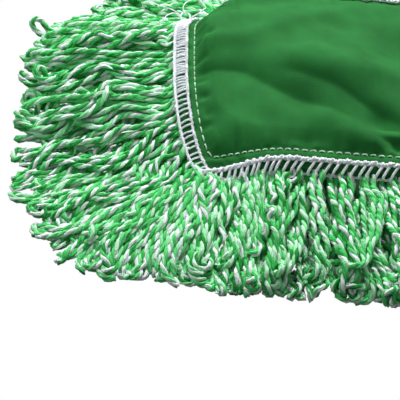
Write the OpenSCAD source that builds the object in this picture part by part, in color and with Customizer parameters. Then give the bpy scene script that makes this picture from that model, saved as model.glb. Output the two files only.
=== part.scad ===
// Flat dust mop: a looped yarn head with a cloth pocket at each end, the wire frame that
// the pockets slip over, and a swivelling, tilting handle socket. Origin on the floor under
// the middle of the head, X along the head, Y across it, Z up.

/* [Mop head] */
// Length of the cloth panel
panel_l = 630; // [630:10:700]
// Width of the cloth panel
panel_w = 140; // [140:1:160]
// How far the fringe reaches past the panel
fringe_reach = 88; // [60:1:110]
// Radius of the fringe's outline at the corners
fringe_corner_r = 84; // [40:1:100]
// Height of the looped pile under the cloth
pile_h = 14; // [12:0.1:20]
// Height of the fringe where it leaves the panel
fringe_h = 23; // [20:0.5:28]
// Rows of loops under the cloth
row_count = 5; // [3:1:6]

/* [Cloth] */
// Thickness of the base cloth
base_t = 1.8; // [1:0.1:2.2]
// Thickness of the pocket cloth
cloth_t = 1.2; // [0.8:0.1:1.5]
// Height of the pocket over the base cloth
pocket_rise = 10.8; // [10.8:0.1:13]
// Distance from the middle of the head to each pocket's mouth
mouth_x = 90; // [80:1:130]
// Width of the tape on a pocket's mouth
binding_w = 10; // [6:1:14]
// Thickness of the overlocked edge
overlock_t = 3; // [2:0.1:4]

/* [Wire frame] */
// Length of the wire frame, outside
frame_l = 600; // [500:1:600]
// Width of the wire frame, outside
frame_w = 110; // [100:1:110]
// Diameter of the wire
wire_d = 5; // [4.5:0.1:5]
// Bend radius of the frame's corners, to the middle of the wire
corner_r = 26; // [20:1:40]
// Distance of each neck wire from the middle line
neck_y = 16; // [15:0.5:17]

/* [Handle joint] */
// Diameter of the handle that the socket takes
handle_d = 25.4; // [22:0.1:25.4]
// Height of the tilt axis over the floor
pivot_z = 62; // [62:1:75]
// Depth of the socket's bore
socket_depth = 58; // [50:1:80]

/* [Hidden] */
$fn = 64;

green = "seagreen";
yarn_green = "lightgreen";
white = "white";
steel = "silver";
nylon = "dimgray";
gap = 0.2;
cut = 0.5;

// Heights of the stack
base_z = pile_h + gap;
cloth_z = base_z + base_t + gap;
cover_top = cloth_z + pocket_rise;
clamp_floor = 1.8;
wire_r = wire_d / 2;
wire_z = cloth_z + clamp_floor + wire_r;

// Fringe
edge_x = panel_l / 2 + gap + overlock_t + gap;
edge_y = panel_w / 2 + gap + overlock_t + gap;
tip_x = panel_l / 2 + fringe_reach;
tip_y = panel_w / 2 + fringe_reach;

// Middle of the overlocked edge
overlock_z = cloth_z + 0.1;

// Pocket: a nearly flat border, then the rise over the wire to the crown
seam_in = 11;
seam_rise = 4.3;
crown_in = 17;
cover_r = 8;

// Wire halves
bend_r = 15;
wire_x = frame_l / 2 - wire_r;
wire_y = frame_w / 2 - wire_r;
neck_end_x = 38;
neck_drop = wire_y - neck_y;
diagonal_l = (neck_drop - 2 * bend_r * (1 - cos(45))) / sin(45);
shoulder_x = neck_end_x + 2 * bend_r * sin(45) + diagonal_l * cos(45);

// Clamp
clamp_l = 72;
clamp_w = 62;
clamp_r = 6;
split_gap = 0.5;
plate_top = wire_z + 6;
boss_r = 20;
boss_top = plate_top + 4;
screw_r = 2.5;
screw_head_r = 4.6;
screw_head_h = 1.8;
screw_x = 27;
screw_y = 24.5;
fit = 0.05;
screw_nut_h = 4;
screw_nut_af = 8;

// Swivel
king_r = 5;
king_head_r = 9;
king_head_h = 4;
king_head_z = wire_z + split_gap / 2 + fit;
washer_t = 1.5;
yoke_z = boss_top + gap + washer_t + gap;
yoke_base_h = 7;
yoke_l = 42.6;
yoke_w = 36;
king_nut_z = yoke_z + yoke_base_h + gap;
king_nut_h = 6;
king_nut_af = 16;

// Tilt hinge
ear_t = 6;
ear_x = yoke_l / 2 - ear_t;
ear_r = 12;
tilt_r = 4;
tongue_r = 11;
tongue_x = ear_x - 0.3;
tilt_washer_r = 8;
tilt_head_r = 6.5;
tilt_head_h = 5;
tilt_nut_h = 6.5;
tilt_nut_af = 13;

// Socket
socket_r = 16;
bore_r = handle_d / 2 + 0.05;
socket_z = pivot_z + 17;
socket_floor = 4;
socket_top = socket_z + socket_floor + socket_depth;
collar_r = 18.5;
collar_h = 8;

// Release lever
lever_y = 22;
lever_z = socket_top - 46;
lever_w = 14;
lever_t = 3.5;
lever_l = 34;
lever_back = 1.5;
lever_pin_r = 2;
lug_t = 3.5;
lug_r = 5;
nose_tip_y = bore_r + 0.3;
nose_w = 7;
nose_low = 18;
nose_h = 6;
spring_up = 10;

module round_plate(l, w, h, r) {
    linear_extrude(height = h)
        round_rect(l, w, r);
}

// Rectangle with true round corners
module round_rect(l, w, r) {
    union() {
        square([l, w - 2 * r], center = true);
        square([l - 2 * r, w], center = true);
        for (sx = [-1, 1], sy = [-1, 1])
            translate([sx * (l / 2 - r), sy * (w / 2 - r)]) circle(r = r);
    }
}

module hex(af, h) {
    cylinder(r = af / sqrt(3), h = h, $fn = 6);
}

// A shape swept along X from its outline in Y and Z
module along_x(l) {
    rotate([90, 0, 90]) translate([0, 0, -l / 2]) linear_extrude(height = l) children();
}

// A shape swept along Y from its outline in X and Z
module along_y(l) {
    rotate([90, 0, 0]) translate([0, 0, -l / 2]) linear_extrude(height = l) children();
}

module base_cloth() {
    color(green) translate([0, 0, base_z]) round_plate(panel_l, panel_w, base_t, 6);
}

// The pocket's outer form, drawn in by a wall thickness
module pocket_form(wall, low) {
    hull() {
        translate([0, 0, cloth_z - low])
            round_plate(panel_l - 2 * wall, panel_w - 2 * wall, 0.1 + low, cover_r - wall, $fn = 32);
        translate([0, 0, cloth_z + seam_rise - wall])
            round_plate(panel_l - 2 * (seam_in + wall), panel_w - 2 * (seam_in + wall), 0.1, 10, $fn = 32);
        translate([0, 0, cover_top - 0.1 - wall])
            round_plate(panel_l - 2 * (crown_in + wall), panel_w - 2 * (crown_in + wall), 0.1, 14, $fn = 32);
    }
}

module pocket_cover(side) {
    x_low = mouth_x + binding_w + gap;
    color(green) intersection() {
        difference() {
            pocket_form(0, 0);
            pocket_form(cloth_t, cut);
        }
        translate([side * (x_low + panel_l / 2), 0, cloth_z])
            cube([panel_l, panel_w + 2, 3 * pocket_rise], center = true);
    }
}

// Tape folded over the pocket's mouth
module mouth_binding(side) {
    color(white) intersection() {
        difference() {
            pocket_form(-0.5, 0);
            pocket_form(cloth_t + 0.3, cut);
        }
        translate([side * (mouth_x + binding_w / 2), 0, cloth_z + pocket_rise])
            cube([binding_w, panel_w, 2 * pocket_rise], center = true);
    }
}

module overlock_end(side) {
    color(white) translate([side * (panel_l / 2 + gap + overlock_t / 2), 0, overlock_z])
        along_y(panel_w) circle(d = overlock_t);
}

module overlock_side(side) {
    color(white) translate([0, side * (panel_w / 2 + gap + overlock_t / 2), overlock_z])
        along_x(panel_l + 2 * overlock_t) circle(d = overlock_t);
}

// Height of the fringe from its root to its tips: distance out from the root, height
function fringe_outline(root, tip) = [
    [root, 0], [root, fringe_h - 4], [root + 10, fringe_h - 0.5], [root + 34, fringe_h],
    [tip - 22, fringe_h - 5], [tip - 6, 11], [tip, 5], [tip - 2, 0]
];

module fringe_side(side) {
    color(yarn_green) mirror([0, side > 0 ? 0 : 1, 0])
        along_x(2 * edge_x - 0.6) polygon(fringe_outline(edge_y, tip_y));
}

// The end's fringe, fanned round both corners
module fringe_end(side) {
    color(yarn_green) mirror([side > 0 ? 0 : 1, 0, 0]) intersection() {
        along_y(2 * tip_y) polygon(fringe_outline(edge_x, tip_x));
        along_x(3 * tip_x) polygon(concat(
            [for (p = fringe_outline(edge_y, tip_y)) if (p[0] > edge_y) p],
            [for (i = [7:-1:0]) let (p = fringe_outline(edge_y, tip_y)[i])
                if (p[0] > edge_y) [-p[0], p[1]]]));
        linear_extrude(height = 2 * fringe_h) intersection() {
            round_rect(2 * tip_x, 2 * tip_y, fringe_corner_r);
            translate([edge_x, -tip_y]) square([fringe_reach, 2 * tip_y]);
        }
    }
}

module loop_row(i) {
    pitch = panel_w / row_count;
    color(yarn_green) translate([0, (i - (row_count + 1) / 2) * pitch, 0])
        translate([0, 0, pile_h / 2]) cube([panel_l - 4, pitch - 0.6, pile_h], center = true);
}

function arc(x, y, r, a0, a1, n) =
    [for (i = [0:n]) let (a = a0 + (a1 - a0) * i / n) [x + r * cos(a), y + r * sin(a)]];

// The wire's middle line from the clamp out to the end of the frame, and back
function wire_route() = let (
    out = concat(
        [[2, neck_y]],
        arc(neck_end_x, neck_y + bend_r, bend_r, -90, -45, 5),
        arc(shoulder_x, wire_y - bend_r, bend_r, 135, 90, 5),
        arc(wire_x - corner_r, wire_y - corner_r, corner_r, 90, 0, 10)))
    concat(out, [for (i = [len(out) - 1:-1:0]) [out[i][0], -out[i][1]]]);

function unit(v) = v / norm(v);

// A round tube along a route in the plane, mitred at each point
module tube(route, r, sides) {
    n = len(route);
    rings = [for (i = [0:n - 1]) let (
        before = unit(route[i] - route[max(i - 1, 0)] + (i == 0 ? route[1] - route[0] : [0, 0])),
        after = unit(route[min(i + 1, n - 1)] - route[i]
            + (i == n - 1 ? route[n - 1] - route[n - 2] : [0, 0])),
        along = unit(before + after),
        across = [-along[1], along[0]] / sqrt((1 + before * after) / 2))
        for (k = [0:sides - 1]) let (a = 360 * k / sides)
            [route[i][0] + r * cos(a) * across[0], route[i][1] + r * cos(a) * across[1], r * sin(a)]];
    walls = [for (i = [0:n - 2], k = [0:sides - 1]) let (k2 = (k + 1) % sides)
        [i * sides + k, i * sides + k2, (i + 1) * sides + k2, (i + 1) * sides + k]];
    polyhedron(points = rings, faces = concat(walls,
        [[for (k = [sides - 1:-1:0]) k]], [[for (k = [0:sides - 1]) (n - 1) * sides + k]]));
}

module frame_wire(side) {
    color(steel) mirror([side > 0 ? 0 : 1, 0, 0]) translate([0, 0, wire_z])
        tube(wire_route(), wire_r, 16);
}

module wire_grooves() {
    for (sy = [-1, 1]) translate([0, sy * neck_y, wire_z]) rotate([0, 90, 0])
        cylinder(r = wire_r + 0.02, h = clamp_l + 2, center = true);
}

module at_screws() {
    for (sx = [-1, 1], sy = [-1, 1]) translate([sx * screw_x, sy * screw_y, 0]) children();
}

module lower_clamp() {
    z_low = cloth_z + gap;
    color(nylon) difference() {
        translate([0, 0, z_low])
            round_plate(clamp_l, clamp_w, wire_z - split_gap / 2 - z_low, clamp_r);
        wire_grooves();
        at_screws() {
            translate([0, 0, z_low - cut]) cylinder(r = screw_r + fit, h = 2 * pocket_rise);
            translate([0, 0, z_low]) cylinder(r1 = screw_head_r + fit, r2 = screw_r + fit, h = screw_head_h);
        }
    }
}

module upper_clamp() {
    color(nylon) difference() {
        union() {
            translate([0, 0, wire_z + split_gap / 2])
                round_plate(clamp_l, clamp_w, plate_top - wire_z - split_gap / 2, clamp_r);
            translate([0, 0, plate_top - cut]) cylinder(r = boss_r, h = boss_top - plate_top + cut);
        }
        wire_grooves();
        at_screws() translate([0, 0, wire_z - 1]) cylinder(r = screw_r + fit, h = 4 * wire_d);
        translate([0, 0, wire_z - 1]) cylinder(r = king_r + 0.02, h = 4 * wire_d);
        translate([0, 0, wire_z - 1])
            cylinder(r = king_head_r + fit, h = king_head_z + king_head_h + fit - wire_z + 1);
    }
}

module clamp_screws() {
    z_low = cloth_z + gap;
    color(steel) at_screws() union() {
        translate([0, 0, z_low]) cylinder(r1 = screw_head_r, r2 = screw_r, h = screw_head_h);
        translate([0, 0, z_low + screw_head_h - 0.01])
            cylinder(r = screw_r, h = plate_top + screw_nut_h + 1.2 - z_low - screw_head_h);
    }
}

module clamp_nuts() {
    color(steel) at_screws() translate([0, 0, plate_top]) difference() {
        hex(screw_nut_af, screw_nut_h);
        translate([0, 0, -1]) cylinder(r = screw_r + 0.01, h = screw_nut_h + 2);
    }
}

module king_bolt() {
    color(steel) union() {
        translate([0, 0, king_head_z]) cylinder(r = king_head_r, h = king_head_h);
        translate([0, 0, king_head_z + king_head_h - 0.01])
            cylinder(r = king_r, h = king_nut_z + king_nut_h + 1 - king_head_z - king_head_h);
    }
}

module king_nut() {
    color(steel) translate([0, 0, king_nut_z]) difference() {
        hex(king_nut_af, king_nut_h);
        translate([0, 0, -1]) cylinder(r = king_r + 0.01, h = king_nut_h + 2);
    }
}

module thrust_washer() {
    color(steel) translate([0, 0, boss_top + gap / 2]) difference() {
        cylinder(r = 17, h = washer_t);
        translate([0, 0, -1]) cylinder(r = king_r + 0.1, h = washer_t + 2);
    }
}

module swivel_yoke() {
    ear_low = yoke_z + yoke_base_h - 1;
    color(nylon) difference() {
        union() {
            translate([0, 0, yoke_z]) round_plate(yoke_l, yoke_w, yoke_base_h, 8);
            for (sx = [-1, 1]) translate([sx * (ear_x + ear_t / 2), 0, 0]) {
                translate([0, 0, (ear_low + pivot_z) / 2])
                    cube([ear_t, 2 * ear_r, pivot_z - ear_low], center = true);
                translate([0, 0, pivot_z]) rotate([0, 90, 0])
                    cylinder(r = ear_r, h = ear_t, center = true);
            }
        }
        translate([0, 0, yoke_z - 1]) cylinder(r = king_r + fit, h = yoke_base_h + 2);
        translate([0, 0, pivot_z]) rotate([0, 90, 0])
            cylinder(r = tilt_r + 0.02, h = yoke_l + 2, center = true);
    }
}

module tilt_bolt() {
    x_head = yoke_l / 2 + washer_t + gap;
    x_end = yoke_l / 2 + washer_t + 2 * gap + tilt_nut_h + 1.5;
    color(steel) translate([0, 0, pivot_z]) rotate([0, 90, 0]) union() {
        translate([0, 0, -x_head - tilt_head_h]) cylinder(r = tilt_head_r, h = tilt_head_h);
        translate([0, 0, -x_head - 0.01]) cylinder(r = tilt_r, h = x_head + x_end);
    }
}

module tilt_nut() {
    color(steel) translate([yoke_l / 2 + washer_t + 2 * gap, 0, pivot_z]) rotate([0, 90, 0])
        difference() {
            hex(tilt_nut_af, tilt_nut_h);
            translate([0, 0, -1]) cylinder(r = tilt_r + 0.01, h = tilt_nut_h + 2);
        }
}

module tilt_washers() {
    color(steel) for (sx = [-1, 1])
        translate([sx * (yoke_l / 2 + gap / 2 + washer_t / 2), 0, pivot_z]) rotate([0, 90, 0])
            difference() {
                cylinder(r = tilt_washer_r, h = washer_t, center = true);
                cylinder(r = tilt_r + 0.1, h = washer_t + 2, center = true);
            }
}

module handle_socket() {
    color(nylon) difference() {
        union() {
            translate([0, 0, socket_z]) cylinder(r = socket_r, h = socket_top - socket_z);
            translate([0, 0, socket_top - collar_h]) cylinder(r = collar_r, h = collar_h);
            translate([0, 0, (pivot_z + socket_z) / 2 + 1])
                cube([2 * tongue_x, 2 * tongue_r, socket_z - pivot_z + 2], center = true);
            translate([0, 0, pivot_z]) rotate([0, 90, 0])
                cylinder(r = tongue_r, h = 2 * tongue_x, center = true);
            for (sx = [-1, 1]) translate([sx * (lever_w / 2 + 0.4 + lug_t / 2), 0, lever_z]) {
                translate([0, (lever_y + socket_r - 6) / 2, 0])
                    cube([lug_t, lever_y - socket_r + 6, 2 * lug_r], center = true);
                translate([0, lever_y, 0]) rotate([0, 90, 0])
                    cylinder(r = lug_r, h = lug_t, center = true);
            }
        }
        translate([0, 0, socket_z + socket_floor]) cylinder(r = bore_r, h = socket_depth + 2);
        translate([0, 0, pivot_z]) rotate([0, 90, 0])
            cylinder(r = tilt_r + fit, h = 2 * tongue_x + 2, center = true);
        translate([0, lever_y, lever_z]) rotate([0, 90, 0])
            cylinder(r = lever_pin_r + 0.02, h = 4 * lever_w, center = true);
        translate([-nose_w / 2 - 1, 4, lever_z + nose_low - 2.5])
            cube([nose_w + 2, 2 * socket_r, nose_h + 4]);
    }
}

// Pressed at its top, it turns on its pin, and its nose pushes the handle's snap button in
module release_lever() {
    back_y = lever_y - lever_back;
    color("green") difference() {
        union() {
            translate([-lever_w / 2, back_y, lever_z - 4]) cube([lever_w, lever_t, lever_l]);
            translate([0, lever_y, lever_z]) rotate([0, 90, 0])
                cylinder(r = 4.2, h = lever_w, center = true);
            translate([-nose_w / 2, nose_tip_y, lever_z + nose_low])
                cube([nose_w, back_y - nose_tip_y + 1, nose_h]);
            translate([-lever_w / 2, socket_r + 0.3, lever_z - 4.2])
                cube([lever_w, back_y - socket_r, 2.6]);
            for (up = [15, 19, 23, 27]) translate([0, back_y + lever_t, lever_z + up])
                rotate([0, 90, 0]) cylinder(r = 1, h = lever_w, center = true);
        }
        translate([0, lever_y, lever_z]) rotate([0, 90, 0])
            cylinder(r = lever_pin_r + fit, h = lever_w + 2, center = true);
    }
}

module lever_pin() {
    color(steel) translate([0, lever_y, lever_z]) rotate([0, 90, 0])
        cylinder(r = lever_pin_r, h = lever_w + 2 * lug_t + 1.6, center = true);
}

module lever_spring() {
    spring_y = socket_r + gap;
    spring_l = lever_y - lever_back - gap - spring_y;
    color(steel) translate([0, spring_y, lever_z + spring_up]) rotate([-90, 0, 0]) difference() {
        cylinder(r = 3, h = spring_l);
        translate([0, 0, -1]) cylinder(r = 2.3, h = spring_l + 2);
    }
}

base_cloth();
pocket_cover(-1);  // pocket_cover_left
pocket_cover(1);  // pocket_cover_right
mouth_binding(-1);  // mouth_binding_left
mouth_binding(1);  // mouth_binding_right
overlock_end(-1);  // overlock_left
overlock_end(1);  // overlock_right
overlock_side(-1);  // overlock_front
overlock_side(1);  // overlock_back
fringe_end(-1);  // fringe_left
fringe_end(1);  // fringe_right
fringe_side(-1);  // fringe_front
fringe_side(1);  // fringe_back
loop_row(1);  // loop_row_1
loop_row(2);  // loop_row_2
loop_row(3);  // loop_row_3
loop_row(4);  // loop_row_4
loop_row(5);  // loop_row_5
frame_wire(-1);  // frame_wire_left
frame_wire(1);  // frame_wire_right
lower_clamp();
upper_clamp();
clamp_screws();
clamp_nuts();
king_bolt();
king_nut();
thrust_washer();
swivel_yoke();
tilt_bolt();
tilt_nut();
tilt_washers();
handle_socket();
release_lever();
lever_pin();
lever_spring();
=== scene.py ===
"""Looks of a flat dust mop: a looped yarn head, its cloth pockets, wire frame and handle socket.

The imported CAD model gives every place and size. Lengths here are metres, and the head lies
along X with its front edge towards -Y.
"""
import math
from collections import namedtuple

import bpy
import numpy as np
from mathutils import Matrix, Vector


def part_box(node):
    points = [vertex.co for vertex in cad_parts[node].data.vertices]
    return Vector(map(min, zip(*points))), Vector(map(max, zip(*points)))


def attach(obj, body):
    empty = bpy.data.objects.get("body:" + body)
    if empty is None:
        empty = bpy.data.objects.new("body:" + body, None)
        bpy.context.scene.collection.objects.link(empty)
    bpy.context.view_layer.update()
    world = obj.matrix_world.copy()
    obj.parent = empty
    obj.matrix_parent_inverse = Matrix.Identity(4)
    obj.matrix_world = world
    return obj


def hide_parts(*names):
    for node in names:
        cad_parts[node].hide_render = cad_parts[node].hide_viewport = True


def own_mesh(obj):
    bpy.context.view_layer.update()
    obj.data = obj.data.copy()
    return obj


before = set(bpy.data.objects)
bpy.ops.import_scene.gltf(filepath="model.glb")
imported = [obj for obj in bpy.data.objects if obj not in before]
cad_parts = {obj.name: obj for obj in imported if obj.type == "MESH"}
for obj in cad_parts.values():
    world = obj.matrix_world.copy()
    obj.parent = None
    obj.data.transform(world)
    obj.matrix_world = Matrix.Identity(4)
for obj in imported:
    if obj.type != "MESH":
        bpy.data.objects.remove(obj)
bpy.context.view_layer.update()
MM = 0.001
HEAD = "mop_head"

# -------------------- places taken from the frame
HALF_L, HALF_W, BASE_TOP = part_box("base_cloth")[1]
WIRE_HALF_L, WIRE_HALF_W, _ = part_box("frame_wire_right")[1]
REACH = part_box("fringe_right")[1].x - HALF_L
MOUTH_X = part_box("mouth_binding_right")[0].x
BINDING_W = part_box("mouth_binding_right")[1].x - MOUTH_X
LOOP_ROWS = sorted(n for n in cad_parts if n.startswith("loop_row_"))


# -------------------- meshes
def in_scene(name, data):
    obj = bpy.data.objects.new(name, data)
    bpy.context.scene.collection.objects.link(obj)
    return obj


def new_object(name, mesh, body=HEAD):
    obj = in_scene(name, mesh)
    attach(obj, body)
    return obj


def quad_mesh(name, points, quads, slots=None, uvs=None, caps=()):
    """A smooth mesh from arrays of points and quads, with optional slots, UVs and end caps."""
    mesh = bpy.data.meshes.new(name)
    mesh.vertices.add(len(points))
    mesh.vertices.foreach_set("co", points.astype(np.float32).ravel())
    corners = np.concatenate([quads.ravel(), *caps]).astype(np.int32)
    sizes = np.concatenate([np.full(len(quads), 4), [len(c) for c in caps]]).astype(np.int32)
    starts = np.concatenate([[0], np.cumsum(sizes)[:-1]]).astype(np.int32)
    mesh.loops.add(len(corners))
    mesh.loops.foreach_set("vertex_index", corners)
    mesh.polygons.add(len(sizes))
    mesh.polygons.foreach_set("loop_start", starts)
    mesh.polygons.foreach_set("use_smooth", np.ones(len(sizes), dtype=bool))
    if slots is not None:
        mesh.polygons.foreach_set("material_index", slots.astype(np.int32))
    if uvs is not None:
        layer = mesh.uv_layers.new(name="along")
        layer.data.foreach_set("uv", uvs.astype(np.float32).ravel())
    mesh.update(calc_edges=True)
    return mesh


def turning_frames(points):
    """Tangents and two steady normals for lines of points, shaped (lines, points, 3)."""
    tangent = np.gradient(points, axis=1)
    tangent /= np.linalg.norm(tangent, axis=2, keepdims=True)
    first = np.cross(tangent[:, 0], np.array([0.31, 0.17, 0.93]))
    first /= np.linalg.norm(first, axis=1, keepdims=True)
    normal = np.empty_like(points)
    normal[:, 0] = first
    for i in range(1, points.shape[1]):
        n = normal[:, i - 1]
        n = n - tangent[:, i] * (n * tangent[:, i]).sum(1, keepdims=True)
        normal[:, i] = n / np.linalg.norm(n, axis=1, keepdims=True)
    return tangent, normal, np.cross(tangent, normal)


def lengths_along(points):
    """How far along its line each point lies, for lines shaped (lines, points, 3)."""
    steps = np.linalg.norm(np.diff(points, axis=1), axis=2)
    return np.concatenate([np.zeros((len(points), 1)), steps.cumsum(1)], axis=1)


def tubes(points, radius, sides):
    """Tubes round lines of points: vertices, quads, end caps, and UVs with U along in metres."""
    lines, steps, _ = points.shape
    _, normal, across = turning_frames(points)
    angle = np.arange(sides) * 2 * math.pi / sides
    radius = np.broadcast_to(np.asarray(radius, float), (lines, steps))[:, :, None, None]
    ring = (
        np.cos(angle)[None, None, :, None] * normal[:, :, None, :]
        + np.sin(angle)[None, None, :, None] * across[:, :, None, :]
    )
    verts = points[:, :, None, :] + radius * ring
    index = np.arange(lines * steps * sides).reshape(lines, steps, sides)
    nxt = np.roll(index, -1, axis=2)
    quads = np.stack([index[:, :-1], nxt[:, :-1], nxt[:, 1:], index[:, 1:]], axis=-1)
    quads = quads.reshape(-1, 4)
    caps = [index[i, 0, ::-1] for i in range(lines)] + [index[i, -1] for i in range(lines)]
    length = lengths_along(points)
    u0 = np.broadcast_to(length[:, :-1, None], (lines, steps - 1, sides))
    u1 = np.broadcast_to(length[:, 1:, None], (lines, steps - 1, sides))
    v0 = np.broadcast_to(np.arange(sides) / sides, u0.shape)
    v1 = v0 + 1 / sides
    uvs = np.stack([u0, v0, u0, v1, u1, v1, u1, v0], axis=-1).reshape(-1, 2)
    cap_uvs = np.zeros((2 * lines * sides, 2))
    return verts.reshape(-1, 3), quads, caps, np.concatenate([uvs, cap_uvs])


def resampled(line, count):
    """The same line with its points evenly spaced."""
    at = lengths_along(line[None])[0]
    want = np.linspace(0, at[-1], count)
    return np.stack([np.interp(want, at, line[:, k]) for k in range(3)], axis=1)


def smoothed(values, width):
    """A running average along the first axis."""
    if width < 2:
        return values
    kernel = np.hanning(width + 2)[1:-1]
    kernel /= kernel.sum()
    pad = np.pad(values, [(width, width)] + [(0, 0)] * (values.ndim - 1), mode="edge")
    out = np.apply_along_axis(lambda a: np.convolve(a, kernel, mode="same"), 0, pad)
    return out[width:-width]


# -------------------- materials
def material(name, color, roughness, **inputs):
    """A material, its node tree and its shader."""
    mat = bpy.data.materials.new(name)
    mat.use_nodes = True
    mat.diffuse_color = (*color, 1)
    shader = mat.node_tree.nodes["Principled BSDF"]
    shader.inputs["Base Color"].default_value = (*color, 1)
    shader.inputs["Roughness"].default_value = roughness
    for key, value in inputs.items():
        shader.inputs[key].default_value = value
    return mat, mat.node_tree, shader


def node(tree, kind, **values):
    """A new node, with its inputs and settings given by name."""
    made = tree.nodes.new("ShaderNode" + kind)
    for key, value in values.items():
        if key in made.inputs:
            made.inputs[key].default_value = value
        else:
            setattr(made, key, value)
    return made


def join(tree, source, output, target, socket):
    tree.links.new(source.outputs[output], target.inputs[socket])


def add_bump(tree, shader, source, output, strength, distance):
    relief = node(tree, "Bump", Strength=strength, Distance=distance)
    join(tree, source, output, relief, "Height")
    join(tree, relief, "Normal", shader, "Normal")


def vary_roughness(tree, shader, noise, least, most):
    spread = node(tree, "MapRange", **{"To Min": least, "To Max": min(1.0, most)})
    join(tree, noise, "Fac", spread, "Value")
    join(tree, spread, "Result", shader, "Roughness")


def vary_color(tree, shader, source, output, color, dark, light, start=0.0):
    """Lets the colour drift between a darker and a lighter shade of itself."""
    ramp = node(tree, "ValToRGB")
    low, high = ramp.color_ramp.elements
    low.position = start
    low.color = (*(dark * c for c in color), 1)
    high.color = (*(min(1.0, light * c) for c in color), 1)
    join(tree, source, output, ramp, "Fac")
    join(tree, ramp, "Color", shader, "Base Color")


def yarn_material(name, color):
    """One ply's colour, with fine fibres that run along the ply."""
    mat, tree, _ = material(name, color, 0.9, **{"Specular IOR Level": 0.2})
    uv = node(tree, "UVMap", uv_map="along")
    stretch = node(tree, "Mapping", Scale=(260.0, 7.0, 1.0), Rotation=(0.0, 0.0, 0.04))
    noise = node(tree, "TexNoise", Scale=1.0, Detail=2.0, Roughness=0.6)
    relief = node(tree, "Displacement", Scale=0.0011, Midlevel=0.5)
    join(tree, uv, "UV", stretch, "Vector")
    join(tree, stretch, "Vector", noise, "Vector")
    join(tree, noise, "Fac", relief, "Height")
    join(tree, relief, "Displacement", tree.nodes["Material Output"], "Displacement")
    return mat


YARN = [
    yarn_material("yarn_white", (0.80, 0.86, 0.87)),
    yarn_material("yarn_cream", (0.56, 0.84, 0.64)),
    yarn_material("yarn_pale_green", (0.28, 0.76, 0.37)),
    yarn_material("yarn_light_green", (0.100, 0.60, 0.175)),
    yarn_material("yarn_mid_green", (0.038, 0.43, 0.088)),
    yarn_material("yarn_deep_green", (0.012, 0.25, 0.040)),
]
# Each of the three plies draws its shade from its own part of YARN.
PLY_SHADES = ((0, 0, 1), (2, 2, 3, 3), (3, 4, 4, 5))


# -------------------- how the head lies
def eased(t):
    t = np.clip(t, 0, 1)
    return t * t * (3 - 2 * t)


END_ZONE = 60 * MM
SIDE_ZONE = 50 * MM
FOLD_ROUND = 44 * MM


def lying(points):
    """The soft head as it lies: its corners pull in and hang lower than its middle.

    The back left corner is folded down and rounded off, and the front edge widens to its ends.
    """
    p = np.array(points, float)
    x, y = np.abs(p[..., 0]), np.abs(p[..., 1])
    folded = (p[..., 0] < 0) & (p[..., 1] > 0)
    near_end = eased((x - (HALF_L - END_ZONE)) / END_ZONE)
    corner = near_end * eased((y - (HALF_W - SIDE_ZONE)) / SIDE_ZONE)
    pull = np.where(folded, 6.0, 15.5) * MM * (near_end * np.clip(y / HALF_W, 0, 1) ** 3)
    u = np.clip((x - (HALF_L - FOLD_ROUND)) / FOLD_ROUND, 0, 1)
    v = np.clip((y - (HALF_W - FOLD_ROUND)) / FOLD_ROUND, 0, 1)
    inward = np.where(folded, 1 - np.maximum(u, v) / np.maximum(np.hypot(u, v), 1e-6), 0)
    front = (p[..., 1] < 0) * eased((x - 0.10) / 0.09) * eased((y - 15 * MM) / (40 * MM))
    shift_x = 4.0 * MM * eased((x - 0.2) / 0.11) - pull - FOLD_ROUND * u * inward
    shift_y = np.where(folded, -6.0, 4.5) * MM * corner - FOLD_ROUND * v * inward
    shift_y += 5.5 * MM * front
    p[..., 0] += np.sign(p[..., 0]) * shift_x
    p[..., 1] += np.sign(p[..., 1]) * shift_y
    p[..., 2] *= 1 - np.where(folded, 0.55, 0.50) * corner**1.3
    return p


# -------------------- yarn
YARN_D = 3.45 * MM
YARN_LAY = 12.0 * MM
YARN_HELIX_R = 0.80 * MM
PLY_R = 0.94 * MM
LEG_GAP = 3.5 * MM
# the lowest that a yarn's middle line goes while it settles, and at the end
LOWEST = 1.9 * MM
ON_FLOOR = 1.95 * MM


def finer(points, count):
    """Smooth curves through lines of evenly spaced points, shaped (lines, points, 3)."""
    steps = points.shape[1]
    padded = np.concatenate(
        [2 * points[:, :1] - points[:, 1:2], points, 2 * points[:, -1:] - points[:, -2:-1]], axis=1
    )
    at = np.linspace(0, steps - 1, count)
    i = np.minimum(at.astype(int), steps - 2)
    t = (at - i)[None, :, None]
    a, b, c, d = (padded[:, i + k] for k in range(4))
    return 0.5 * (
        2 * b + (c - a) * t + (2 * a - 5 * b + 4 * c - d) * t**2 + (3 * b - a - 3 * c + d) * t**3
    )


def near_pairs(p, radius):
    """Index pairs of points closer than the radius."""
    cell = np.floor(p / radius).astype(np.int64)
    cell -= cell.min(axis=0) - 1
    wide = cell.max(axis=0) + 3
    key = (cell[:, 0] * wide[1] + cell[:, 1]) * wide[2] + cell[:, 2]
    order = np.argsort(key, kind="stable")
    ranked = key[order]
    firsts, seconds = [], []
    cells_near = [
        (0, 0, 0), (1, 0, 0), (0, 1, 0), (0, 0, 1), (1, 1, 0), (1, -1, 0), (1, 0, 1),
        (1, 0, -1), (0, 1, 1), (0, 1, -1), (1, 1, 1), (1, 1, -1), (1, -1, 1), (1, -1, -1),
    ]
    for step in cells_near:
        shift = (step[0] * wide[1] + step[1]) * wide[2] + step[2]
        low = np.searchsorted(ranked, ranked + shift, "left")
        high = np.searchsorted(ranked, ranked + shift, "right")
        count = high - low
        first = np.repeat(np.arange(len(p)), count)
        second = np.arange(count.sum()) - np.repeat(count.cumsum() - count, count)
        second += np.repeat(low, count)
        if step == (0, 0, 0):
            keep = first < second
            first, second = first[keep], second[keep]
        firsts.append(order[first])
        seconds.append(order[second])
    first, second = np.concatenate(firsts), np.concatenate(seconds)
    close = ((p[first] - p[second]) ** 2).sum(1) < radius * radius
    return first[close], second[close]


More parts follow.
